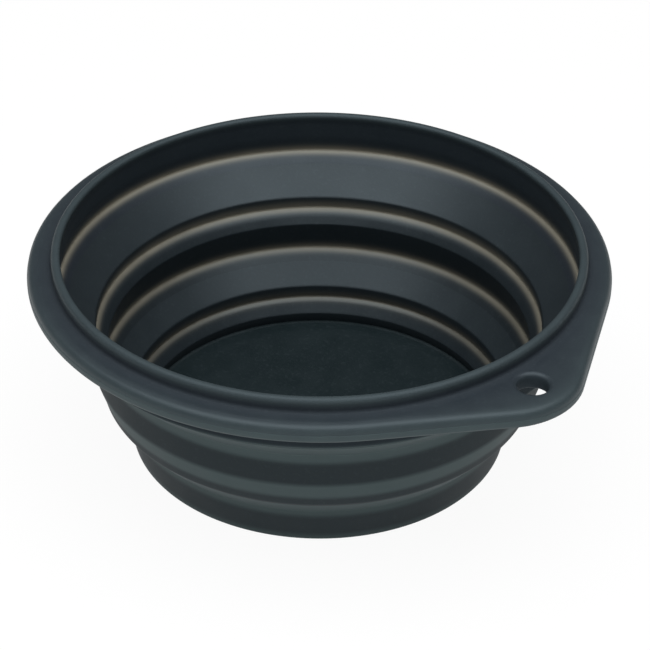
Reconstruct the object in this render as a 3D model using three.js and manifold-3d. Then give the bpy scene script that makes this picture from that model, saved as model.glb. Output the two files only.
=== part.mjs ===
// Collapsible silicone pet bowl with a hanging tab on its rim.
// Millimetres, +Z up. The origin is the centre of the underside, and the tab points along +X.
// The bowl is one moulding that folds at two conical webs. Here it is split into the zones that
// move or bend apart: rim, upper web, middle ring, lower web and base.

import * as THREE from 'three';
import { mergeVertices } from 'three/addons/utils/BufferGeometryUtils.js';
import Module from 'manifold-3d';

const wasm = await Module();
wasm.setup();

// Overall sizes
const FLANGE_RADIUS = 90;
const LIP_TOP = 69;
const SEAM = 0.3;              // clearance between zones of the moulding
const SEGMENTS = 64;           // facets round the bowl
const FLANGE_SEGMENTS = 120;   // finer, because the tab takes only a few of them
const HOLE_SEGMENTS = 24;
const FILLET_STEPS = 4;        // facets in a rounded corner

// Rim: lip, collar and flange
const LIP_INNER_RADIUS = 79.8;
const LIP_THICKNESS = 2.8;
const LIP_ROUND = 1.35;
const LIP_OUTER_RADIUS = LIP_INNER_RADIUS + LIP_THICKNESS;
const COLLAR_BOTTOM = 54;
const COLLAR_BOTTOM_INNER_RADIUS = 80.4;
const COLLAR_HEEL_RADIUS = 82.4;   // outer corner of the web below
const FLANGE_INNER_RADIUS = LIP_OUTER_RADIUS + SEAM;
const FLANGE_UNDERSIDE = 59.1;
const FLANGE_ROOT_TOP = 64.9;  // where the flange meets the lip
const FLANGE_EDGE_TOP = 64;    // the flange falls a little towards its edge
const FLANGE_EDGE_ROUND = 2.4;

// Hanging tab: the hull of the flange circle and a smaller tip circle
const TAB_REACH = 102.8;
const TAB_TIP_RADIUS = 25.1;
const TAB_ROOT_RADIUS = FLANGE_INNER_RADIUS + 3.2;   // inside this the flange stays round
const HOLE_DISTANCE = 91.2;    // hole centre to the bowl's axis
const HOLE_RADIUS = 4.5;
const HOLE_RIM_ROUND = 1.1;

// Webs: 45 degree cones, with a small ledge at the top where they bend
const WEB_THICKNESS = 2.2;
const WEB_WIDTH = WEB_THICKNESS * Math.SQRT2;   // measured along a radius
const HINGE_THICKNESS = 1.3;
const LEDGE_DROP = 0.5;
const LEDGE_WIDTH = 1.5;

// Middle ring
const MIDDLE_TOP = 42.9;
const MIDDLE_NECK_RADIUS = 69.6;
const MIDDLE_OUTER_RADIUS = 71.5;
const MIDDLE_SHOULDER_TOP = 38.3;
const MIDDLE_SHOULDER_BOTTOM = 33.9;
const MIDDLE_BAND_RADIUS = 67.3;
const MIDDLE_BOTTOM = 23.3;
const MIDDLE_BOTTOM_OUTER_RADIUS = 69;
const MIDDLE_HEEL_RADIUS = 68.3;   // outer corner of the web below
const MIDDLE_TAPER_TOP = 29.8;

// Base ring and floor
const BASE_TOP = 14.1;
const BASE_NECK_RADIUS = 59.3;
const BASE_WAIST = 12;
const BASE_WAIST_RADIUS = 61.4;
const BASE_OUTER_RADIUS = 60.9;
const BASE_SHOULDER_TOP = 9.1;
const BASE_SHOULDER_BOTTOM = 5;
const BASE_BAND_RADIUS = 56.6;
const FLOOR_THICKNESS = 1.5;
const FLOOR_RADIUS = 59.1;
const FLOOR_EDGE_ROUND = 1.4;

// Surface finish, from the photographed dark grey silicone
const silicone = (color) => new THREE.MeshStandardMaterial({ color, roughness: 0.55, metalness: 0 });
const RIM_COLOUR = 0x3a4147;
const WALL_COLOUR = 0x30373a;
const WEB_COLOUR = 0x3c4448;

// Points of a closed section in the (radius, height) plane.
// A corner is [radius, height] or [radius, height, fillet radius].
function section(corners) {
  const count = corners.length;
  const points = corners.flatMap(([radius, height, fillet], index) => {
    const corner = new THREE.Vector2(radius, height);
    if (!fillet) return [corner];
    const before = new THREE.Vector2(...corners[(index + count - 1) % count]);
    const after = new THREE.Vector2(...corners[(index + 1) % count]);
    return filletArc(corner, before, after, fillet);
  });
  return [...points, points[0].clone()];
}

// Points of the arc that rounds a corner between its two neighbours.
function filletArc(corner, before, after, radius) {
  const toBefore = before.clone().sub(corner).normalize();
  const toAfter = after.clone().sub(corner).normalize();
  const halfAngle = Math.acos(toBefore.dot(toAfter)) / 2;
  const bisector = toBefore.clone().add(toAfter).normalize();
  const centre = corner.clone().addScaledVector(bisector, radius / Math.sin(halfAngle));
  const start = corner.clone().addScaledVector(toBefore, radius / Math.tan(halfAngle)).sub(centre);
  const turn = (Math.PI - 2 * halfAngle) * Math.sign(toBefore.cross(toAfter));
  return Array.from({ length: FILLET_STEPS + 1 }, (_, step) =>
    start.clone().rotateAround(new THREE.Vector2(), -turn * step / FILLET_STEPS).add(centre));
}

// Turns a closed section about Z. Sections run anticlockwise seen with radius to the right, height up.
function turned(points, segments = SEGMENTS) {
  const geometry = new THREE.LatheGeometry(points, segments);
  geometry.rotateX(Math.PI / 2);
  return geometry;
}

// Keeps only positions and joins shared vertices, so that the surface is closed.
function welded(geometry) {
  const bare = geometry.clone();
  bare.deleteAttribute('normal');
  bare.deleteAttribute('uv');
  return mergeVertices(bare, 1e-4);
}

function toSolid(geometry) {
  const closed = welded(geometry);
  return new wasm.Manifold(new wasm.Mesh({
    numProp: 3,
    vertProperties: new Float32Array(closed.attributes.position.array),
    triVerts: new Uint32Array(closed.index.array),
  }));
}

function toGeometry(solid) {
  const mesh = solid.getMesh();
  const geometry = new THREE.BufferGeometry();
  geometry.setAttribute('position', new THREE.BufferAttribute(new Float32Array(mesh.vertProperties), 3));
  geometry.setIndex(new THREE.BufferAttribute(new Uint32Array(mesh.triVerts), 1));
  geometry.computeVertexNormals();
  return geometry;
}

// Distance from the axis to the outline of flange and tab, at an angle from +X.
function flangeReach(angle) {
  const tipCentre = TAB_REACH - TAB_TIP_RADIUS;
  const tangentAngle = Math.acos((FLANGE_RADIUS - TAB_TIP_RADIUS) / tipCentre);
  const turn = Math.abs(angle);
  if (turn >= tangentAngle) return FLANGE_RADIUS;
  const tipEndX = tipCentre + TAB_TIP_RADIUS * Math.cos(tangentAngle);
  const tipEndY = TAB_TIP_RADIUS * Math.sin(tangentAngle);
  if (turn >= Math.atan2(tipEndY, tipEndX)) return FLANGE_RADIUS / Math.cos(tangentAngle - turn);
  const across = tipCentre * Math.sin(turn);
  return tipCentre * Math.cos(turn) + Math.sqrt(TAB_TIP_RADIUS ** 2 - across ** 2);
}

// Pulls the outer part of a turned flange out to the outline with the tab.
function pullOutTab(geometry) {
  const position = geometry.attributes.position;
  for (let index = 0; index < position.count; index += 1) {
    const x = position.getX(index);
    const y = position.getY(index);
    const radius = Math.hypot(x, y);
    const span = (radius - FLANGE_INNER_RADIUS) / (TAB_ROOT_RADIUS - FLANGE_INNER_RADIUS);
    const share = THREE.MathUtils.clamp(span, 0, 1);
    const pull = share * (flangeReach(Math.atan2(y, x)) - FLANGE_RADIUS);
    const scale = (radius + pull) / radius;
    position.setXY(index, x * scale, y * scale);
  }
  return geometry;
}

// A cutter for the hanging hole, wider at both faces so that the hole's rims are round.
function holeCutter() {
  const overshoot = 4;
  const mouth = HOLE_RADIUS + HOLE_RIM_ROUND;
  const fall = (FLANGE_ROOT_TOP - FLANGE_EDGE_TOP) / (TAB_REACH - FLANGE_INNER_RADIUS);
  const topRim = FLANGE_ROOT_TOP - fall * (HOLE_DISTANCE - FLANGE_INNER_RADIUS);
  const points = section([
    [0, FLANGE_UNDERSIDE - overshoot],
    [mouth, FLANGE_UNDERSIDE - overshoot],
    [mouth, FLANGE_UNDERSIDE],
    [HOLE_RADIUS, FLANGE_UNDERSIDE + HOLE_RIM_ROUND],
    [HOLE_RADIUS, topRim - HOLE_RIM_ROUND],
    [mouth, topRim],
    [mouth, topRim + overshoot],
    [0, topRim + overshoot],
  ]);
  points.pop();
  const geometry = turned(points, HOLE_SEGMENTS);
  geometry.translate(HOLE_DISTANCE, 0, 0);
  return geometry;
}

function rimLip() {
  return turned(section([
    [LIP_INNER_RADIUS, FLANGE_ROOT_TOP + SEAM],
    [LIP_OUTER_RADIUS, FLANGE_ROOT_TOP + SEAM],
    [LIP_OUTER_RADIUS, LIP_TOP, LIP_ROUND],
    [LIP_INNER_RADIUS, LIP_TOP, LIP_ROUND],
  ]));
}

function rimCollar() {
  return turned(section([
    [COLLAR_BOTTOM_INNER_RADIUS, COLLAR_BOTTOM],
    [LIP_OUTER_RADIUS, COLLAR_BOTTOM],
    [LIP_OUTER_RADIUS, FLANGE_ROOT_TOP],
    [LIP_INNER_RADIUS, FLANGE_ROOT_TOP],
  ]));
}

function rimFlange() {
  const ring = turned(section([
    [FLANGE_INNER_RADIUS, FLANGE_UNDERSIDE],
    [TAB_ROOT_RADIUS, FLANGE_UNDERSIDE],
    [FLANGE_RADIUS, FLANGE_UNDERSIDE, FLANGE_EDGE_ROUND],
    [FLANGE_RADIUS, FLANGE_EDGE_TOP, FLANGE_EDGE_ROUND],
    [FLANGE_INNER_RADIUS, FLANGE_ROOT_TOP],
  ]), FLANGE_SEGMENTS);
  return toGeometry(toSolid(pullOutTab(ring)).subtract(toSolid(holeCutter())));
}

// A conical web between a ring above, at its lower edge, and a ring below, at its upper edge.
function foldWeb(upper, lower) {
  const top = upper.bottom - SEAM;
  const bottom = lower.top + SEAM;
  const outerBottomRadius = lower.innerRadius + WEB_WIDTH;
  const ledgeStart = upper.outerRadius - HINGE_THICKNESS;
  const ledgeEnd = ledgeStart - LEDGE_WIDTH;
  return turned(section([
    [lower.innerRadius, bottom],
    [outerBottomRadius, bottom],
    [upper.heelRadius, bottom + upper.heelRadius - outerBottomRadius],
    [upper.outerRadius, top],
    [ledgeStart, top],
    [ledgeEnd, top - LEDGE_DROP],
  ]));
}

function upperFoldWeb() {
  return foldWeb(
    { bottom: COLLAR_BOTTOM, outerRadius: LIP_OUTER_RADIUS, heelRadius: COLLAR_HEEL_RADIUS },
    { top: MIDDLE_TOP, innerRadius: MIDDLE_NECK_RADIUS },
  );
}

function lowerFoldWeb() {
  return foldWeb(
    { bottom: MIDDLE_BOTTOM, outerRadius: MIDDLE_BOTTOM_OUTER_RADIUS, heelRadius: MIDDLE_HEEL_RADIUS },
    { top: BASE_TOP, innerRadius: BASE_NECK_RADIUS },
  );
}

function middleRingNeck() {
  return turned(section([
    [MIDDLE_NECK_RADIUS, MIDDLE_SHOULDER_TOP + SEAM],
    [MIDDLE_OUTER_RADIUS, MIDDLE_SHOULDER_TOP + SEAM],
    [MIDDLE_NECK_RADIUS + WEB_WIDTH, MIDDLE_TOP],
    [MIDDLE_NECK_RADIUS, MIDDLE_TOP],
  ]));
}

function middleRingBand() {
  return turned(section([
    [MIDDLE_BAND_RADIUS, MIDDLE_BOTTOM],
    [MIDDLE_BOTTOM_OUTER_RADIUS, MIDDLE_BOTTOM],
    [MIDDLE_OUTER_RADIUS, MIDDLE_TAPER_TOP],
    [MIDDLE_OUTER_RADIUS, MIDDLE_SHOULDER_TOP],
    [MIDDLE_NECK_RADIUS, MIDDLE_SHOULDER_TOP],
    [MIDDLE_BAND_RADIUS, MIDDLE_SHOULDER_BOTTOM],
  ]));
}

function baseRingNeck() {
  return turned(section([
    [BASE_NECK_RADIUS, BASE_SHOULDER_TOP + SEAM],
    [BASE_OUTER_RADIUS, BASE_SHOULDER_TOP + SEAM],
    [BASE_WAIST_RADIUS, BASE_WAIST],
    [BASE_NECK_RADIUS + WEB_WIDTH, BASE_TOP],
    [BASE_NECK_RADIUS, BASE_TOP],
  ]));
}

function baseRingBand() {
  return turned(section([
    [BASE_BAND_RADIUS, FLOOR_THICKNESS + SEAM],
    [FLOOR_RADIUS, FLOOR_THICKNESS + SEAM],
    [BASE_OUTER_RADIUS, BASE_SHOULDER_TOP],
    [BASE_NECK_RADIUS, BASE_SHOULDER_TOP],
    [BASE_BAND_RADIUS, BASE_SHOULDER_BOTTOM],
  ]));
}

function floorDisc() {
  const points = section([
    [0, 0],
    [FLOOR_RADIUS, 0, FLOOR_EDGE_ROUND],
    [FLOOR_RADIUS, FLOOR_THICKNESS],
    [0, FLOOR_THICKNESS],
  ]);
  points.pop();
  return turned(points);
}

function named(name, geometry, colour) {
  const mesh = new THREE.Mesh(geometry, silicone(colour));
  mesh.name = name;
  return mesh;
}

const rim = new THREE.Group();
rim.add(named('rim_lip', rimLip(), RIM_COLOUR));
rim.add(named('rim_collar', rimCollar(), WALL_COLOUR));
rim.add(named('rim_flange', rimFlange(), RIM_COLOUR));

const middleRing = new THREE.Group();
middleRing.add(named('middle_ring_neck', middleRingNeck(), WALL_COLOUR));
middleRing.add(named('middle_ring_band', middleRingBand(), WALL_COLOUR));

const base = new THREE.Group();
base.add(named('base_ring_neck', baseRingNeck(), WALL_COLOUR));
base.add(named('base_ring_band', baseRingBand(), WALL_COLOUR));
base.add(named('floor_disc', floorDisc(), WALL_COLOUR));

const bowl = new THREE.Group();
bowl.add(rim);
bowl.add(named('upper_fold_web', upperFoldWeb(), WEB_COLOUR));
bowl.add(middleRing);
bowl.add(named('lower_fold_web', lowerFoldWeb(), WEB_COLOUR));
bowl.add(base);

export default bowl;
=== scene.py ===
"""Looks of a collapsible silicone pet bowl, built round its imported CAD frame."""

import math

import bmesh
import bpy
from bpy.props import FloatProperty, FloatVectorProperty, IntProperty, PointerProperty
from mathutils import Matrix, Vector


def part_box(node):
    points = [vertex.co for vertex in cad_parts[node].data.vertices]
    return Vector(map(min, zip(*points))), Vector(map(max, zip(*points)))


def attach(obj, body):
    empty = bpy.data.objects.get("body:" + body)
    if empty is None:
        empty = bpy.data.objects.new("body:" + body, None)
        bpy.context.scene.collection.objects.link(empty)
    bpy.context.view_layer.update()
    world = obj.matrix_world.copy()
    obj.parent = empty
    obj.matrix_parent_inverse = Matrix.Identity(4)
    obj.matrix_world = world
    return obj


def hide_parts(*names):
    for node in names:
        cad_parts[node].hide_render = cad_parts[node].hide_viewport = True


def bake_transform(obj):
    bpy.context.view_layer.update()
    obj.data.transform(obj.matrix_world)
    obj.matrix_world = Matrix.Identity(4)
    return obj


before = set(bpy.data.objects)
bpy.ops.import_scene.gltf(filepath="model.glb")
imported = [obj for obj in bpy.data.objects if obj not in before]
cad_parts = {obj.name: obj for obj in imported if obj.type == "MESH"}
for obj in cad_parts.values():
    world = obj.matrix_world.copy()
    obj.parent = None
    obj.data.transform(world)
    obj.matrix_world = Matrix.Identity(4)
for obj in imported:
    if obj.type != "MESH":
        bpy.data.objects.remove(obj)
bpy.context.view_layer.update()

bl_info = {
    "name": "Collapsible Pet Bowl",
    "version": (1, 0, 0),
    "blender": (4, 5, 0),
    "location": "3D View > Sidebar > Pet Bowl",
    "description": "Builds a folding silicone bowl with its rim, rings, fold webs and studio",
    "category": "Object",
}

MM = 0.001
FOLD_ATTRIBUTE = "fold_line"
BLOOM_AND_PAINTED_LIGHT_ATTRIBUTE = "bloom"
MATT_ATTRIBUTE = "matt"
THICKNESS_GROUP = "web_thickness"

# Meshing of the turned sections, with steps in millimetres
FILLET_SEGMENTS = 5
LONGEST_STEP = 0.8
FLANGE_STEP = 0.4
WEB_STEP = 0.4
FLOOR_DISC_STEP = 2.0
SHARP_ANGLE = math.radians(50)
WELD_DISTANCE = 0.001 * MM

# Sections are in millimetres: radius from the bowl's axis, height above its underside.
# A corner is (radius, height, length of rounding along each side).
COLLAR_RADIUS = 82.6
COLLAR_FOOT = 52.2
WALL_MIDDLE_RADIUS = COLLAR_RADIUS - 1
LIP_INNER_RADIUS = 79.4
LIP_ROUND = 1.5
FLANGE_TOP = 64.6
FLANGE_EDGE_TOP = 64.1
FLANGE_UNDERSIDE = 59.1
FLANGE_UPPER_ROUND = 1.9
FLANGE_LOWER_ROUND = 1.4
PARTING_LINE = 61.9
BEAD_STEP = 0.15
TAB_ROOT_START = 83.6
TAB_ROOT_END = 87.2

# The patch that is taken out of the round flange for the hanging hole, and the hole's mouth
HOLE_PATCH_ANGLE = math.radians(5)
HOLE_PATCH_START = 83.7
HOLE_PATCH_END = 86.8
HOLE_MOUTH_SHARE = 1.15
HOLE_MARGIN = 0.5

# How the rings hold the webs, measured along the web from its ends and into its wall
LOWER_FOOT = 0.5
LOWER_HEEL = 1.7
UPPER_FOOT = 3.3
UPPER_LEDGE = 2.4
FOOT_PROUD = 0.02
FOOT_BURIED = 0.4

# How far a web's sheet runs into its rings, and how it thins out there
SHEET_BURIED_LOW = 0.7
SHEET_BURIED_HIGH = 0.8
SHEET_TAPER = 0.4
SHEET_END_SHARE = 0.45

# Where the moulding folds, on its inner face: these lines are pale, partly from paled silicone and
# partly as a painted warm highlight.
# Each is (radius, height, how pale).
FOLD_LINES = ((81.0, 54.5, 1.05), (69.7, 38.9, 0.88), (68.0, 24.0, 0.83), (59.6, 9.6, 0.49))
FOLD_FADE_UP = 1.8
FOLD_FADE_DOWN = 1.25
RIM_TOP_START = FOLD_LINES[0][1] + 1

# Heights between which the outer face flexes and is painted paler, partly a dull bloom and partly a
# painted reflection of the pale floor, and how softly it ends
BLOOM_AND_REFLECTION_SPANS = ((48.0, 52.6), (38.0, 45.0), (23.6, 30.0), (10.4, 17.0), (-2.0, 2.6))
BLOOM_EDGE = 2.0
BLOOM_AND_REFLECTION_EVERYWHERE = 0.15
# The webs' outer face is painted evenly paler: partly a dull bloom, partly a painted reflection of
# the floor.
WEB_BLOOM_AND_REFLECTION = 0.85

# How pale the rim is painted, from 0 to 1. On the lip, the flange's edge and its bead this is partly
# worn silicone and partly a painted highlight; across the flange it grows outwards, painting the
# shade next to the lip; the collar's inner face is paler all round. The paler edge starts at a share
# of the flange's width.
LIP_WEAR_AND_HIGHLIGHT = 0.38
FLANGE_PAINTED_LIGHT = 0.27
EDGE_WEAR_AND_HIGHLIGHT = 0.2
EDGE_START = 0.7
BEAD_WEAR_AND_HIGHLIGHT = 0.75
COLLAR_PALING = 0.12

# How matt the sides of the moulding are, from 0 to 1
MATT_OUTSIDE = 0.57
MATT_SHELTERED = 0.9
MATT_CORNER = 1.0
MATT_OF_WEAR = 0.4
CORNER_REACH = 3.0

# Strength of the reflection on each side of the moulding, in the order of the material slots
# The sheltered side's weak reflection is painted shade, in the hole and under the flange.
SPECULAR = {"inside": 0.5, "outside": 0.28, "rim_top": 0.42, "sheltered": 0.16}
INSIDE, OUTSIDE, RIM_TOP, SHELTERED = range(len(SPECULAR))

# A face is outside if it lies below the flange's rounded edge and its normal passes one of these
OUTSIDE_TOP = FLANGE_UNDERSIDE + 0.5
LOOKS_OUT = 0.2
LOOKS_DOWN = -0.9
AXIS_RADIUS = 1.0


class FoldWeb:
    """The inner face of a conical web, from its lower to its upper hinge line."""

    def __init__(self, low, high, thickness):
        self.low = Vector(low)
        self.run = (Vector(high) - self.low).length
        self.direction = (Vector(high) - self.low) / self.run
        self.outward = Vector((self.direction.y, -self.direction.x))
        self.thickness = thickness

    def point(self, along, depth):
        """Radius and height of a point at a distance up the web and a depth in its wall."""
        return self.low + self.direction * along + self.outward * depth

    def corner(self, along, depth, rounding=0.0):
        """The same point as a corner of a section."""
        place = self.point(along, depth)
        return (place.x, place.y, rounding)


UPPER_WEB = FoldWeb(low=(69.7, 42.9), high=(80.15, 53.76), thickness=2.5)
LOWER_WEB = FoldWeb(low=(59.35, 14.1), high=(67.35, 23.18), thickness=2.4)


class BowlShape(bpy.types.PropertyGroup):
    """Sizes of the bowl that a user would change."""

    flange_radius: FloatProperty(
        name="Flange Radius",
        description="Radius of the flange away from the tab",
        default=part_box("rim_flange")[1].y,
        unit="LENGTH",
    )
    lip_height: FloatProperty(
        name="Lip Height",
        description="Height of the lip above the floor",
        default=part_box("rim_lip")[1].z,
        unit="LENGTH",
    )
    tab_reach: FloatProperty(
        name="Tab Reach",
        description="Distance from the bowl's axis to the tip of the hanging tab",
        default=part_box("rim_flange")[1].x,
        unit="LENGTH",
    )
    tab_tip_radius: FloatProperty(
        name="Tab Tip Radius",
        description="Radius of the tab's round tip",
        default=25.1 * MM,
        unit="LENGTH",
    )
    hole_distance: FloatProperty(
        name="Hole Distance",
        description="Distance from the bowl's axis to the middle of the hanging hole",
        default=91.2 * MM,
        unit="LENGTH",
    )
    hole_radius: FloatProperty(
        name="Hole Radius",
        description="Radius of the hanging hole",
        default=4.5 * MM,
        unit="LENGTH",
    )
    hole_round: FloatProperty(
        name="Hole Rounding",
        description="Rounding of the hole's two rims",
        default=1.8 * MM,
        unit="LENGTH",
    )
    turn_steps: IntProperty(
        name="Turn Steps",
        description="Facets round the bowl",
        default=288,
        min=96,
    )


class BowlFinish(bpy.types.PropertyGroup):
    """Colours and gloss of the silicone."""

    rim_colour: FloatVectorProperty(
        name="Rim",
        description="Colour of the rim's silicone",
        default=(0.0142, 0.0188, 0.0252),
        subtype="COLOR",
    )
    # The rings' colour is darker than the rim's and the webs': painted shade for the deep inside of
    # the bowl.
    wall_colour_with_painted_shade: FloatVectorProperty(
        name="Rings",
        description="Colour of the rings' silicone",
        default=(0.0104, 0.0145, 0.0178),
        subtype="COLOR",
    )
    web_colour: FloatVectorProperty(
        name="Webs",
        description="Colour of the fold webs' silicone",
        default=(0.0152, 0.0208, 0.0248),
        subtype="COLOR",
    )
    # The floor disc's colour is darkest of all: painted shade for the bottom of the bowl.
    floor_colour: FloatVectorProperty(
        name="Floor Disc",
        description="Colour of the floor disc's silicone",
        default=(0.0052, 0.01, 0.0116),
        subtype="COLOR",
    )
    # The bloom colour is partly a dull bloom and partly painted light: the floor's reflection on the
    # outer faces, and highlights and shade on the rim.
    bloom_and_painted_light_colour: FloatVectorProperty(
        name="Bloom",
        description="Colour of the dull bloom on worn and flexed faces",
        default=(0.048, 0.069, 0.071),
        subtype="COLOR",
    )
    # The fold lines' colour is partly the silicone's own paling and partly a painted warm highlight.
    fold_colour_and_highlight: FloatVectorProperty(
        name="Fold Lines",
        description="Colour of the silicone where folding has paled it",
        default=(0.212, 0.198, 0.157),
        subtype="COLOR",
    )
    dust_colour: FloatVectorProperty(
        name="Dust",
        description="Colour of the fine dust on the silicone",
        default=(0.056, 0.072, 0.08),
        subtype="COLOR",
    )
    reflection_tint: FloatVectorProperty(
        name="Reflection Tint",
        description="Tint of the reflection at the silicone's surface",
        default=(0.77, 0.92, 1.0),
        subtype="COLOR",
    )
    refraction: FloatProperty(
        name="Refraction",
        description="Index of refraction of silicone",
        default=1.44,
    )
    grain_depth: FloatProperty(
        name="Grain Depth",
        description="Depth of the fine moulded grain",
        default=0.02 * MM,
        unit="LENGTH",
    )


class BowlStage(bpy.types.PropertyGroup):
    """Floor, light and camera."""

    floor_colour: FloatVectorProperty(
        name="Floor",
        description="Colour of the floor",
        default=(0.9, 0.9, 0.9),
        subtype="COLOR",
    )
    backdrop_share: FloatProperty(
        name="Backdrop Share",
        description="How far the floor shows as plain white instead of as lit",
        default=0.94,
        subtype="FACTOR",
    )
    softbox_power: FloatProperty(
        name="Softbox Power",
        description="Power of the overhead softbox",
        default=20.5,
        unit="POWER",
    )
    softbox_width: FloatProperty(
        name="Softbox Width",
        description="Size of the overhead softbox from left to right",
        default=1.7,
        unit="LENGTH",
    )
    softbox_depth: FloatProperty(
        name="Softbox Depth",
        description="Size of the overhead softbox from front to back",
        default=1.1,
        unit="LENGTH",
    )
    fill_power: FloatProperty(
        name="Fill Power",
        description="Power of the soft fill light behind the camera",
        default=3.0,
        unit="POWER",
    )
    ambient: FloatProperty(
        name="Ambient Light",
        description="Strength of the even light from the room",
        default=0.15,
    )
    lens: FloatProperty(
        name="Lens",
        description="Focal length of the camera",
        default=144.77,
        unit="CAMERA",
    )


def active_shape():
    return bpy.context.scene.pet_bowl_shape


def active_finish():
    return bpy.context.scene.pet_bowl_finish


def active_stage():
    return bpy.context.scene.pet_bowl_stage


# Meshes


def turned_section(corners, step=LONGEST_STEP, closed=True):
    """A bmesh of a section with rounded corners, turned a full circle about Z."""
    bm = bmesh.new()
    draw_section(bm, corners, closed)
    split_long_edges(bm, step)
    turn_about(bm, bm.verts[:] + bm.edges[:], Vector(), active_shape().turn_steps)
    clean(bm)
    return bm


def draw_section(bm, corners, closed):
    """Draws a section with rounded corners in the plane of X and Z."""
    verts = [bm.verts.new((radius * MM, 0.0, height * MM)) for radius, height, _ in corners]
    ends = verts[1:] + verts[:1] if closed else verts[1:]
    for start, end in zip(verts, ends):
        bm.edges.new((start, end))
    round_corners(bm, verts, corners)


def round_corners(bm, verts, corners):
    for vert, (_, _, rounding) in zip(verts, corners):
        if rounding:
            bmesh.ops.bevel(
                bm,
                geom=[vert],
                offset=rounding * MM,
                offset_type="OFFSET",
                affect="VERTICES",
                segments=FILLET_SEGMENTS,
                profile=0.5,
                material=-1,
            )


def split_long_edges(bm, step):
    """Cuts the edges of a section into equal parts no longer than a step in millimetres."""
    by_cuts = {}
    for edge in bm.edges:
        cuts = math.ceil(edge.calc_length() / (step * MM)) - 1
        by_cuts.setdefault(cuts, []).append(edge)
    for cuts, edges in by_cuts.items():
        if cuts > 0:
            bmesh.ops.subdivide_edges(bm, edges=edges, cuts=cuts)


def turn_about(bm, geometry, centre, steps):
    return bmesh.ops.spin(
        bm,
        geom=geometry,
        cent=centre,
        axis=(0, 0, 1),
        dvec=(0, 0, 0),
        angle=math.tau,
        steps=steps,
        use_merge=True,
        use_normal_flip=False,
        use_duplicate=False,
    )


def clean(bm):
    bmesh.ops.remove_doubles(bm, verts=bm.verts[:], dist=WELD_DISTANCE)
    bmesh.ops.recalc_face_normals(bm, faces=bm.faces[:])


def section_place(co):
    """Radius and height of a point, in millimetres."""
    return Vector((math.hypot(co.x, co.y), co.z)) / MM


def clamp(share):
    return min(1.0, max(0.0, share))


def fold_line_and_highlight_share(place):
    """How pale the inner face is painted at a radius and height, from 0 to about 1: partly paled
    silicone, partly a painted highlight.
    """
    share = 0.0
    for line_radius, line_height, pale in FOLD_LINES:
        fade = FOLD_FADE_UP if place.y > line_height else FOLD_FADE_DOWN
        distance = math.hypot(place.x - line_radius, place.y - line_height) / fade
        share = max(share, pale * math.exp(-distance * distance))
    return share


def bloom_and_reflection_share(height):
    """How pale the outer face is painted at a height, from 0 to 1: partly a dull bloom, partly a
    painted reflection of the floor.
    """
    share = BLOOM_AND_REFLECTION_EVERYWHERE
    for low, high in BLOOM_AND_REFLECTION_SPANS:
        inside = min(height - low, high - height) / BLOOM_EDGE + 0.5
        share = max(share, clamp(inside))
    return share


def lip_wear_and_highlight(height):
    """How pale the top of the lip is painted at a height, from 0 to 1: partly worn silicone, partly
    a painted highlight.
    """
    below_top = active_shape().lip_height / MM - height
    return LIP_WEAR_AND_HIGHLIGHT * clamp(2.0 - below_top / LIP_ROUND)


def rim_paling_and_painted_light(place, co):
    """How pale the collar, the flange and its outer edge are painted at a point, from 0 to 1: partly
    worn silicone, and partly a painted highlight on the edge and bead and painted shade next to the
    lip.
    """
    if place.x < WALL_MIDDLE_RADIUS and place.y > RIM_TOP_START:
        return COLLAR_PALING
    if place.y < FLANGE_UNDERSIDE:
        return 0.0
    if place.y < PARTING_LINE and place.x > COLLAR_RADIUS:
        return BEAD_WEAR_AND_HIGHLIGHT
    edge = tab_outline(math.atan2(co.y, co.x)) / MM
    across = (place.x - COLLAR_RADIUS) / (edge - COLLAR_RADIUS)
    near_edge = (across - EDGE_START) / (1 - EDGE_START)
    return FLANGE_PAINTED_LIGHT * clamp(across) + EDGE_WEAR_AND_HIGHLIGHT * clamp(near_edge)


def in_hole(co):
    """Whether a point is on the wall of the hanging hole."""
    shape = active_shape()
    from_middle = (co.xy - Vector((shape.hole_distance, 0))).length
    return from_middle < shape.hole_radius + HOLE_MARGIN * MM


def is_outside(place, co, normal):
    """Whether a face is below the flange and looks outwards or down."""
    if place.x < AXIS_RADIUS or place.y > OUTSIDE_TOP:
        return False
    outward = (co.x * normal.x + co.y * normal.y) / (place.x * MM)
    return outward > LOOKS_OUT or normal.z < LOOKS_DOWN


def corner_share(place):
    """How close a point is to the corner between lip and flange, from 0 to 1."""
    distance = math.hypot(place.x - COLLAR_RADIUS, place.y - FLANGE_TOP)
    return max(0.0, 1.0 - distance / CORNER_REACH)


def side_of(place, co, normal):
    """Which side of the moulding a point is on: the hole and the flange's shadow are sheltered."""
    outside = is_outside(place, co, normal)
    if in_hole(co) or (outside and place.y > COLLAR_FOOT):
        return SHELTERED
    if outside:
        return OUTSIDE
    return RIM_TOP if place.y > RIM_TOP_START else INSIDE


def matt_share(place, co, side):
    """How matt a face is: most in sheltered places, least inside the bowl."""
    if side == SHELTERED:
        return MATT_SHELTERED
    if side == OUTSIDE:
        return MATT_OUTSIDE
    sheltered = MATT_CORNER * corner_share(place)
    return max(lip_wear_and_highlight(place.y), MATT_OF_WEAR * rim_paling_and_painted_light(place, co), sheltered)


def finish_mesh(bm, name, materials):
    """Makes a smooth object of a bmesh, with its materials."""
    mesh = bpy.data.meshes.new(name)
    bm.to_mesh(mesh)
    bm.free()
    mesh.polygons.foreach_set("use_smooth", [True] * len(mesh.polygons))
    mesh.set_sharp_from_angle(angle=SHARP_ANGLE)
    for material in materials:
        mesh.materials.append(material)
    piece = bpy.data.objects.new(name, mesh)
    bpy.context.scene.collection.objects.link(piece)
    return piece


def store_attribute(piece, name, values):
    """Stores one value for each point of a piece."""
    attribute = piece.data.attributes.new(name, "FLOAT", "POINT")
    attribute.data.foreach_set("value", values)


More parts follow.
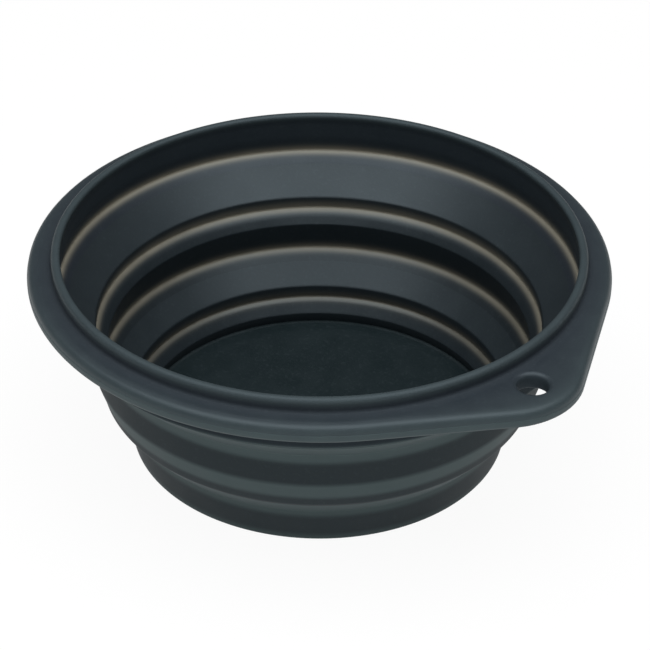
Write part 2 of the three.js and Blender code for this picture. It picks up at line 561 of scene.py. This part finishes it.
def store_surface(piece):
    """Stores where a turned piece has pale fold lines and a pale bloom, both partly painted light,
    and where it is matt, and gives each side its material.
    """
    folds = []
    bloom_and_painted_light_values = []
    matts = []
    for vert in piece.data.vertices:
        place = section_place(vert.co)
        side = side_of(place, vert.co, vert.normal)
        # Pale fold lines, rim paling and outer bloom are partly painted light: highlights on the
        # folds, lip and flange edge, shade next to the lip, and the floor's reflection outside.
        wear_and_painted_light = max(lip_wear_and_highlight(place.y), rim_paling_and_painted_light(place, vert.co))
        folds.append(fold_line_and_highlight_share(place) if side in (INSIDE, RIM_TOP) else 0.0)
        bloom_and_painted_light_values.append(wear_and_painted_light if side in (INSIDE, RIM_TOP) else bloom_and_reflection_share(place.y))
        matts.append(matt_share(place, vert.co, side))
    store_attribute(piece, FOLD_ATTRIBUTE, folds)
    store_attribute(piece, BLOOM_AND_PAINTED_LIGHT_ATTRIBUTE, bloom_and_painted_light_values)
    store_attribute(piece, MATT_ATTRIBUTE, matts)
    for face in piece.data.polygons:
        face.material_index = side_of(section_place(face.center), face.center, face.normal)


def place_piece(piece, body, slot, *nodes):
    """Fixes a piece to its body, in place of the plain solids that it covers."""
    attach(piece, body)
    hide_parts(*nodes)


# Rim and rings


def lower_foot(web, waist):
    """Corners of the ring that holds a web's lower end, from the inner face out to its waist."""
    return [
        web.corner(0, 0, 0.3),
        web.corner(LOWER_FOOT, -FOOT_PROUD),
        web.corner(LOWER_FOOT, web.thickness / 2),
        web.corner(LOWER_HEEL, web.thickness - FOOT_BURIED),
        web.corner(LOWER_HEEL, web.thickness + FOOT_PROUD),
        web.corner(waist, web.thickness + FOOT_PROUD, 0.5),
    ]


def upper_foot(web, heel):
    """Corners of the ring that holds a web's upper end, from its outer heel to the inner ledge."""
    return [
        web.corner(heel, web.thickness + FOOT_PROUD),
        web.corner(heel, web.thickness - FOOT_BURIED),
        web.corner(web.run - UPPER_FOOT, web.thickness / 2),
        web.corner(web.run - UPPER_FOOT, -FOOT_PROUD),
        web.corner(web.run - UPPER_LEDGE, -FOOT_PROUD, 0.8),
    ]


def rim_section():
    lip_top = active_shape().lip_height / MM
    edge = active_shape().flange_radius / MM
    return [
        (LIP_INNER_RADIUS, lip_top, LIP_ROUND),
        (LIP_INNER_RADIUS + 2 * LIP_ROUND + 0.05, lip_top, LIP_ROUND),
        (COLLAR_RADIUS - 0.1, 66.6, 0.8),
        (COLLAR_RADIUS + 0.05, FLANGE_TOP, 1.0),
        (HOLE_PATCH_START, FLANGE_TOP, 0.0),
        (HOLE_PATCH_END, FLANGE_TOP, 0.0),
        (edge - BEAD_STEP, FLANGE_EDGE_TOP, FLANGE_UPPER_ROUND),
        (edge - BEAD_STEP, PARTING_LINE, 0.05),
        (edge, PARTING_LINE - BEAD_STEP, 0.14),
        (edge, FLANGE_UNDERSIDE, FLANGE_LOWER_ROUND),
        (HOLE_PATCH_END, FLANGE_UNDERSIDE, 0.0),
        (HOLE_PATCH_START, FLANGE_UNDERSIDE, 0.0),
        (COLLAR_RADIUS, FLANGE_UNDERSIDE, 0.8),
        (COLLAR_RADIUS + 0.15, COLLAR_FOOT, 0.7),
        *upper_foot(UPPER_WEB, heel=UPPER_WEB.run - 1.2),
        (80.0, 53.5, 0.8),
        (81.45, 54.6, 0.6),
        (80.85, 56.3, 0.9),
        (80.2, 60.0, 1.0),
        (80.0, 65.8, 0.8),
    ]


def tab_outline(angle):
    """Distance from the axis to the outline of flange and tab, at an angle from +X."""
    shape = active_shape()
    tip_centre = shape.tab_reach - shape.tab_tip_radius
    tangent = math.acos((shape.flange_radius - shape.tab_tip_radius) / tip_centre)
    turn = abs(angle)
    if turn >= tangent:
        return shape.flange_radius
    tip_end = math.atan2(
        shape.tab_tip_radius * math.sin(tangent),
        tip_centre + shape.tab_tip_radius * math.cos(tangent),
    )
    if turn >= tip_end:
        return shape.flange_radius / math.cos(tangent - turn)
    across = tip_centre * math.sin(turn)
    return tip_centre * math.cos(turn) + math.sqrt(shape.tab_tip_radius**2 - across**2)


def pull_out_tab(bm):
    """Stretches the flange outwards to the outline with the tab."""
    shape = active_shape()
    for vert in bm.verts:
        radius = vert.co.xy.length
        share = (radius / MM - TAB_ROOT_START) / (TAB_ROOT_END - TAB_ROOT_START)
        if share <= 0:
            continue
        angle = math.atan2(vert.co.y, vert.co.x)
        pull = min(share, 1.0) * (tab_outline(angle) - shape.flange_radius)
        vert.co.xy *= (radius + pull) / radius


def open_hole_patch(bm):
    """Takes the faces above and below the hanging hole out of the round flange."""
    taken = []
    for face in bm.faces:
        middle = face.calc_center_median()
        in_turn = abs(math.atan2(middle.y, middle.x)) < HOLE_PATCH_ANGLE
        in_reach = HOLE_PATCH_START < middle.xy.length / MM < HOLE_PATCH_END
        if in_turn and in_reach:
            taken.append(face)
    bmesh.ops.delete(bm, geom=taken, context="FACES")


def loops_by_level(bm):
    """Open edges of the flange, above and below its middle."""
    middle = 0.5 * (FLANGE_UNDERSIDE + FLANGE_EDGE_TOP) * MM
    open_edges = [edge for edge in bm.edges if edge.is_boundary]
    upper = [edge for edge in open_edges if edge.verts[0].co.z > middle]
    lower = [edge for edge in open_edges if edge.verts[0].co.z <= middle]
    return upper, lower


def line_hole(bm):
    """Turns the hole's wall with its rounded rims and joins it to the flange."""
    shape = active_shape()
    upper, _ = loops_by_level(bm)
    wall = (shape.hole_distance + shape.hole_radius) / MM
    rounding = shape.hole_round / MM
    mouth = wall + rounding * HOLE_MOUTH_SHARE
    section = [
        (mouth, FLANGE_TOP, 0.0),
        (wall, FLANGE_TOP, rounding),
        (wall, FLANGE_UNDERSIDE, rounding),
        (mouth, FLANGE_UNDERSIDE, 0.0),
    ]
    before = set(bm.verts)
    draw_section(bm, section, closed=False)
    wire = [vert for vert in bm.verts if vert not in before]
    wire += [edge for edge in bm.edges if edge.is_wire]
    turn_about(bm, wire, Vector((shape.hole_distance, 0, 0)), len(upper))
    hole_verts = [vert for vert in bm.verts if vert not in before]
    bmesh.ops.remove_doubles(bm, verts=hole_verts, dist=WELD_DISTANCE)
    for edges in loops_by_level(bm):
        bmesh.ops.triangle_fill(bm, use_beauty=True, use_dissolve=False, edges=edges)


class BOWL_OT_rim(bpy.types.Operator):
    """Builds the rim: lip, collar, and flange with its hanging tab and hole"""

    bl_idname = "pet_bowl.rim"
    bl_label = "Rim"

    def execute(self, context):
        bm = turned_section(rim_section(), FLANGE_STEP)
        open_hole_patch(bm)
        pull_out_tab(bm)
        line_hole(bm)
        clean(bm)
        piece = finish_mesh(bm, "bowl_rim", rim_silicone())
        store_surface(piece)
        place_piece(piece, "rim", "rim", "rim_lip", "rim_collar", "rim_flange")
        return {"FINISHED"}


def middle_ring_section():
    return [
        *lower_foot(UPPER_WEB, waist=0.7),
        (71.35, 38.7, 1.2),
        (71.2, 29.8, 1.0),
        (69.15, 23.8, 0.5),
        (68.3, 20.5, 0.5),
        *upper_foot(LOWER_WEB, heel=9.3),
        (67.15, 22.9, 0.8),
        (68.6, 24.2, 0.6),
        (68.0, 25.9, 0.9),
        (66.3, 34.4, 0.3),
        (68.0, 37.1, 0.9),
        (70.15, 39.0, 0.5),
        (69.65, 40.5, 0.7),
    ]


class BOWL_OT_middle_ring(bpy.types.Operator):
    """Builds the middle ring with its neck and its thick band"""

    bl_idname = "pet_bowl.middle_ring"
    bl_label = "Middle Ring"

    def execute(self, context):
        bm = turned_section(middle_ring_section())
        piece = finish_mesh(bm, "bowl_middle_ring", wall_silicone())
        store_surface(piece)
        place_piece(piece, "middle_ring", "wall", "middle_ring_neck", "middle_ring_band")
        return {"FINISHED"}


def base_ring_section():
    return [
        *lower_foot(LOWER_WEB, waist=0.8),
        (61.35, 11.8, 1.0),
        (59.35, 0.0, 1.3),
        (55.0, 0.0, 0.0),
        (55.0, 1.0, 0.0),
        (57.3, 1.0, 0.0),
        (56.2, 5.2, 0.3),
        (58.7, 8.7, 0.5),
        (60.05, 9.8, 0.5),
        (59.45, 11.3, 0.7),
    ]


class BOWL_OT_base_ring(bpy.types.Operator):
    """Builds the base ring that the bowl stands on"""

    bl_idname = "pet_bowl.base_ring"
    bl_label = "Base Ring"

    def execute(self, context):
        bm = turned_section(base_ring_section())
        piece = finish_mesh(bm, "bowl_base_ring", wall_silicone())
        store_surface(piece)
        place_piece(piece, "base", "wall", "base_ring_neck", "base_ring_band")
        return {"FINISHED"}


def floor_section():
    return [
        (0.0, 0.05, 0.0),
        (57.5, 0.05, 0.0),
        (57.5, 1.2, 0.0),
        (57.0, 1.9, 0.1),
        (55.9, 1.5, 0.4),
        (0.0, 1.5, 0.0),
    ]


class BOWL_OT_floor_disc(bpy.types.Operator):
    """Builds the floor of the bowl"""

    bl_idname = "pet_bowl.floor_disc"
    bl_label = "Floor Disc"

    def execute(self, context):
        bm = turned_section(floor_section(), FLOOR_DISC_STEP, closed=False)
        piece = finish_mesh(bm, "bowl_floor", floor_silicone())
        store_surface(piece)
        place_piece(piece, "base", "floor", "floor_disc")
        return {"FINISHED"}


# Webs


def web_ends(web):
    """Where the web's sheet starts and ends, inside the rings that hold it."""
    return LOWER_FOOT - SHEET_BURIED_LOW, web.run - UPPER_FOOT + SHEET_BURIED_HIGH


def web_thickness_share(web, along):
    """Share of the full thickness: the sheet thins out at both ends."""
    start, end = web_ends(web)
    inside = clamp(min(along - start, end - along) / SHEET_TAPER)
    return SHEET_END_SHARE + (1 - SHEET_END_SHARE) * inside


def web_sheet(web):
    """A bmesh of the web's middle surface, turned a full circle."""
    corners = [web.corner(along, web.thickness / 2) for along in web_ends(web)]
    return turned_section(corners, WEB_STEP, closed=False)


def web_along(web, co):
    """Distance up the web of a point on its middle surface, in millimetres."""
    return (section_place(co) - web.low).dot(web.direction)


def build_web(name, web, node):
    """Builds a web as a sheet with a thick wall between its two rings."""
    bm = web_sheet(web)
    piece = finish_mesh(bm, name, web_silicone())
    inner_places = [web.point(web_along(web, vert.co), 0) for vert in piece.data.vertices]
    # The web's fold lines are partly paled silicone and partly a painted highlight.
    store_attribute(piece, FOLD_ATTRIBUTE, [fold_line_and_highlight_share(place) for place in inner_places])
    group = piece.vertex_groups.new(name=THICKNESS_GROUP)
    for vert in piece.data.vertices:
        group.add([vert.index], web_thickness_share(web, web_along(web, vert.co)), "REPLACE")
    wall = piece.modifiers.new("Wall", "SOLIDIFY")
    wall.thickness = web.thickness * MM
    wall.offset = 0
    wall.use_quality_normals = True
    wall.material_offset = 1
    wall.material_offset_rim = 1
    wall.vertex_group = THICKNESS_GROUP
    low = web.point(LOWER_FOOT, web.thickness / 2).y * MM
    high = web.point(web.run - UPPER_FOOT, web.thickness / 2).y * MM
    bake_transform(piece)
    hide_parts(node)


class BOWL_OT_fold_webs(bpy.types.Operator):
    """Builds the two thin webs that turn inside out when the bowl folds"""

    bl_idname = "pet_bowl.fold_webs"
    bl_label = "Fold Webs"

    def execute(self, context):
        build_web("upper_web", UPPER_WEB, "upper_fold_web")
        build_web("lower_web", LOWER_WEB, "lower_fold_web")
        return {"FINISHED"}


# Materials

CLOUD_SCALE = 120
SPECK_SCALE = 900
GRAIN_SCALE = 1500
DUST_CLOUD = 0.03
DUST_SPECK = 0.12
ROUGHNESS_LOW = 0.37
ROUGHNESS_HIGH = 0.43
ROUGHNESS_OF_MATT = 0.4


def link(tree, source, target):
    tree.links.new(source, target)


def noise(tree, coordinates, scale, detail):
    node = tree.nodes.new("ShaderNodeTexNoise")
    node.inputs["Scale"].default_value = scale
    node.inputs["Detail"].default_value = detail
    link(tree, coordinates, node.inputs["Vector"])
    return node.outputs["Fac"]


def map_range(tree, value, from_low, from_high, to_low, to_high):
    node = tree.nodes.new("ShaderNodeMapRange")
    node.inputs["From Min"].default_value = from_low
    node.inputs["From Max"].default_value = from_high
    node.inputs["To Min"].default_value = to_low
    node.inputs["To Max"].default_value = to_high
    link(tree, value, node.inputs["Value"])
    return node.outputs["Result"]


def mix_colour(tree, share, first, second):
    node = tree.nodes.new("ShaderNodeMix")
    node.data_type = "RGBA"
    link(tree, share, node.inputs["Factor"])
    link(tree, first, node.inputs["A"])
    link(tree, second, node.inputs["B"])
    return node.outputs["Result"]


def math_node(tree, operation, first, second):
    node = tree.nodes.new("ShaderNodeMath")
    node.operation = operation
    for socket, value in zip(node.inputs, (first, second)):
        if isinstance(value, (int, float)):
            socket.default_value = value
        else:
            link(tree, value, socket)
    return node.outputs["Value"]


def group_sockets(group, in_out, labels):
    for label, kind in labels:
        group.interface.new_socket(label, in_out=in_out, socket_type=kind)


def silicone_surface():
    """The node group with the dust, pale folds, pale bloom and grain of moulded silicone; the folds
    and the bloom are partly painted highlights, reflections and shade.
    """
    name = "Silicone Surface"
    if name in bpy.data.node_groups:
        return bpy.data.node_groups[name]
    group = bpy.data.node_groups.new(name, "ShaderNodeTree")
    colour = "NodeSocketColor"
    value = "NodeSocketFloat"
    group_sockets(
        group,
        "INPUT",
        (
            ("Silicone", colour),
            ("Dust Colour", colour),
            ("Bloom And Painted Light Colour", colour),
            ("Fold Colour And Highlight", colour),
            ("Fold Line", value),
            ("Bloom", value),
            ("Matt", value),
        ),
    )
    group_sockets(
        group,
        "OUTPUT",
        (("Colour", colour), ("Roughness", value), ("Grain", value)),
    )
    given = group.nodes.new("NodeGroupInput").outputs
    made = group.nodes.new("NodeGroupOutput").inputs
    place = group.nodes.new("ShaderNodeTexCoord").outputs["Object"]
    cloud = noise(group, place, CLOUD_SCALE, 4)
    speck = noise(group, place, SPECK_SCALE, 2)
    grain = noise(group, place, GRAIN_SCALE, 2)
    dust_cloud = map_range(group, cloud, 0.35, 0.7, 0.0, DUST_CLOUD)
    dust_speck = map_range(group, speck, 0.56, 0.76, 0.0, DUST_SPECK)
    dust = math_node(group, "ADD", dust_cloud, dust_speck)
    dusty = mix_colour(group, dust, given["Silicone"], given["Dust Colour"])
    broken = map_range(group, cloud, 0.2, 0.8, 0.85, 1.15)
    # The bloom and fold colours mixed in here are partly painted highlights, reflections and shade.
    bloom = math_node(group, "MULTIPLY", given["Bloom"], broken)
    dull = mix_colour(group, bloom, dusty, given["Bloom And Painted Light Colour"])
    fold = math_node(group, "MULTIPLY", given["Fold Line"], broken)
    link(group, mix_colour(group, fold, dull, given["Fold Colour And Highlight"]), made["Colour"])
    cloudy = map_range(group, cloud, 0.3, 0.7, ROUGHNESS_LOW, ROUGHNESS_HIGH)
    matt = math_node(group, "MULTIPLY", given["Matt"], ROUGHNESS_OF_MATT)
    link(group, math_node(group, "ADD", cloudy, matt), made["Roughness"])
    link(group, grain, made["Grain"])
    return group


def link_attribute(tree, name, socket):
    attribute = tree.nodes.new("ShaderNodeAttribute")
    attribute.attribute_name = name
    link(tree, attribute.outputs["Fac"], socket)


def silicone(name, colour, specular, outer_shell=False):
    """Silicone whose pale, dull and matt places come from the mesh, or an even outer shell; the pale
    and dull places are partly painted light.
    """
    if name in bpy.data.materials:
        return bpy.data.materials[name]
    finish = active_finish()
    material = bpy.data.materials.new(name)
    material.use_nodes = True
    tree = material.node_tree
    shader = tree.nodes["Principled BSDF"]
    shader.inputs["IOR"].default_value = finish.refraction
    shader.inputs["Specular IOR Level"].default_value = specular
    shader.inputs["Specular Tint"].default_value = (*finish.reflection_tint, 1)
    surface = tree.nodes.new("ShaderNodeGroup")
    surface.node_tree = silicone_surface()
    surface.inputs["Silicone"].default_value = (*colour, 1)
    surface.inputs["Dust Colour"].default_value = (*finish.dust_colour, 1)
    surface.inputs["Bloom And Painted Light Colour"].default_value = (*finish.bloom_and_painted_light_colour, 1)
    surface.inputs["Fold Colour And Highlight"].default_value = (*finish.fold_colour_and_highlight, 1)
    if outer_shell:
        surface.inputs["Bloom"].default_value = WEB_BLOOM_AND_REFLECTION
        surface.inputs["Matt"].default_value = MATT_OUTSIDE
    else:
        link_attribute(tree, FOLD_ATTRIBUTE, surface.inputs["Fold Line"])
        link_attribute(tree, BLOOM_AND_PAINTED_LIGHT_ATTRIBUTE, surface.inputs["Bloom"])
        link_attribute(tree, MATT_ATTRIBUTE, surface.inputs["Matt"])
    link(tree, surface.outputs["Colour"], shader.inputs["Base Color"])
    link(tree, surface.outputs["Roughness"], shader.inputs["Roughness"])
    bump = tree.nodes.new("ShaderNodeBump")
    bump.inputs["Distance"].default_value = finish.grain_depth
    link(tree, surface.outputs["Grain"], bump.inputs["Height"])
    link(tree, bump.outputs["Normal"], shader.inputs["Normal"])
    return material


def moulded_sides(name, colour, sides):
    """A material for each side of a turned piece."""
    return [silicone(f"{name}_{side}", colour, SPECULAR[side]) for side in sides]


def rim_silicone():
    return moulded_sides("rim_silicone", active_finish().rim_colour, SPECULAR)


def wall_silicone():
    return moulded_sides("wall_silicone", active_finish().wall_colour_with_painted_shade, ("inside", "outside"))


def floor_silicone():
    return moulded_sides("floor_silicone", active_finish().floor_colour, ("inside", "outside"))


def web_silicone():
    """The web's two faces: the sheet's own face becomes the outer one, and its wall the inner."""
    colour = active_finish().web_colour
    outer = silicone("web_outer_silicone", colour, SPECULAR["outside"], outer_shell=True)
    inner = silicone("web_inner_silicone", colour, SPECULAR["inside"])
    return [outer, inner]


# Stage

CAMERA_TURN = math.radians(47.6)
CAMERA_ELEVATION = math.radians(32.79)
CAMERA_DISTANCE = 0.8071
CAMERA_AIM = Vector((0, 0, 0.06264))
CAMERA_PITCH = math.radians(-1.408)
CAMERA_YAW = math.radians(0.127)
CAMERA_ROLL = math.radians(0.386)
OVERHEAD_HEIGHT = 1.1
OVERHEAD_OFFSET = 0.15
FILL_SIZE = 1.0
FILL_DISTANCE = 1.5
FILL_HEIGHT = 0.6
SENSOR_WIDTH = 36
CLIP_START = 0.01
FLOOR_SIZE = 12.0
FLOOR_LEVEL = -0.3 * MM


def seen_directly(tree):
    """1 for what the camera sees directly, in a mirror or through glass."""
    path = tree.nodes.new("ShaderNodeLightPath").outputs
    mirrored = math_node(tree, "MAXIMUM", path["Is Camera Ray"], path["Is Glossy Ray"])
    return math_node(tree, "MAXIMUM", mirrored, path["Is Transmission Ray"])


def floor_material():
    stage = active_stage()
    material = bpy.data.materials.new("studio_floor")
    material.use_nodes = True
    tree = material.node_tree
    tree.nodes.clear()
    lit = tree.nodes.new("ShaderNodeBsdfDiffuse")
    lit.inputs["Color"].default_value = (*stage.floor_colour, 1)
    white = tree.nodes.new("ShaderNodeEmission")
    white.inputs["Color"].default_value = (1, 1, 1, 1)
    blend = tree.nodes.new("ShaderNodeMixShader")
    share = math_node(tree, "MULTIPLY", seen_directly(tree), stage.backdrop_share)
    link(tree, share, blend.inputs["Fac"])
    link(tree, lit.outputs["BSDF"], blend.inputs[1])
    link(tree, white.outputs["Emission"], blend.inputs[2])
    output = tree.nodes.new("ShaderNodeOutputMaterial")
    link(tree, blend.outputs["Shader"], output.inputs["Surface"])
    return material


def build_floor():
    bm = bmesh.new()
    bmesh.ops.create_grid(bm, x_segments=2, y_segments=2, size=FLOOR_SIZE / 2)
    bmesh.ops.translate(bm, verts=bm.verts[:], vec=(0, 0, FLOOR_LEVEL))
    floor = finish_mesh(bm, "studio_floor", [floor_material()])


def build_world():
    world = bpy.data.worlds.new("studio_room")
    world.use_nodes = True
    room = world.node_tree.nodes["Background"]
    room.inputs["Color"].default_value = (1, 1, 1, 1)
    room.inputs["Strength"].default_value = active_stage().ambient
    bpy.context.scene.world = world


def towards_camera():
    """Level direction from the bowl towards the camera."""
    return Vector((math.sin(CAMERA_TURN), -math.cos(CAMERA_TURN), 0))


def build_softbox(name, width, depth, power, place):
    """A soft light that faces the bowl, with its width across the camera's view."""
    light = bpy.data.lights.new(name, "AREA")
    light.shape = "RECTANGLE"
    light.size = width
    light.size_y = depth
    light.energy = power
    softbox = bpy.data.objects.new(name, light)
    softbox.location = place
    softbox.rotation_euler = (CAMERA_AIM - place).to_track_quat("-Z", "Y").to_euler()
    bpy.context.scene.collection.objects.link(softbox)


def build_lights():
    stage = active_stage()
    overhead = towards_camera() * OVERHEAD_OFFSET + Vector((0, 0, OVERHEAD_HEIGHT))
    fill = towards_camera() * FILL_DISTANCE + Vector((0, 0, FILL_HEIGHT))
    width = stage.softbox_width
    depth = stage.softbox_depth
    build_softbox("overhead_softbox", width, depth, stage.softbox_power, overhead)
    build_softbox("front_fill", FILL_SIZE, FILL_SIZE, stage.fill_power, fill)


def build_camera():
    data = bpy.data.cameras.new("photo_camera")
    data.sensor_width = SENSOR_WIDTH
    data.lens = active_stage().lens
    data.clip_start = CLIP_START
    camera = bpy.data.objects.new("photo_camera", data)
    back = towards_camera() * math.cos(CAMERA_ELEVATION) + Vector((0, 0, math.sin(CAMERA_ELEVATION)))
    tilt = math.pi / 2 - CAMERA_ELEVATION + CAMERA_PITCH
    camera.matrix_world = (
        Matrix.Translation(CAMERA_AIM + back * CAMERA_DISTANCE)
        @ Matrix.Rotation(CAMERA_TURN, 4, "Z")
        @ Matrix.Rotation(tilt, 4, "X")
        @ Matrix.Rotation(-CAMERA_YAW, 4, "Y")
        @ Matrix.Rotation(CAMERA_ROLL, 4, "Z")
    )
    bpy.context.scene.collection.objects.link(camera)
    bpy.context.scene.camera = camera


class BOWL_OT_stage(bpy.types.Operator):
    """Builds the floor, the soft light and the camera"""

    bl_idname = "pet_bowl.stage"
    bl_label = "Stage"

    def execute(self, context):
        context.scene.view_settings.view_transform = "Standard"
        build_floor()
        build_world()
        build_lights()
        build_camera()
        return {"FINISHED"}


OPERATORS = (
    BOWL_OT_rim,
    BOWL_OT_middle_ring,
    BOWL_OT_base_ring,
    BOWL_OT_floor_disc,
    BOWL_OT_fold_webs,
    BOWL_OT_stage,
)


class BOWL_PT_panel(bpy.types.Panel):
    """Lists the bowl's pieces and its settings"""

    bl_idname = "BOWL_PT_panel"
    bl_label = "Pet Bowl"
    bl_space_type = "VIEW_3D"
    bl_region_type = "UI"
    bl_category = "Pet Bowl"

    def draw(self, context):
        layout = self.layout
        for operator in OPERATORS:
            layout.operator(operator.bl_idname)
        scene = context.scene
        for group in (scene.pet_bowl_shape, scene.pet_bowl_finish, scene.pet_bowl_stage):
            box = layout.box()
            for name in group.__annotations__:
                box.prop(group, name)


CLASSES = (BowlShape, BowlFinish, BowlStage, *OPERATORS, BOWL_PT_panel)


def register():
    for cls in CLASSES:
        bpy.utils.register_class(cls)
    bpy.types.Scene.pet_bowl_shape = PointerProperty(type=BowlShape)
    bpy.types.Scene.pet_bowl_finish = PointerProperty(type=BowlFinish)
    bpy.types.Scene.pet_bowl_stage = PointerProperty(type=BowlStage)


def unregister():
    del bpy.types.Scene.pet_bowl_stage
    del bpy.types.Scene.pet_bowl_finish
    del bpy.types.Scene.pet_bowl_shape
    for cls in reversed(CLASSES):
        bpy.utils.unregister_class(cls)


def main():
    register()
    bpy.ops.pet_bowl.rim()
    bpy.ops.pet_bowl.middle_ring()
    bpy.ops.pet_bowl.base_ring()
    bpy.ops.pet_bowl.floor_disc()
    bpy.ops.pet_bowl.fold_webs()
    bpy.ops.pet_bowl.stage()


if __name__ == "__main__":
    main()
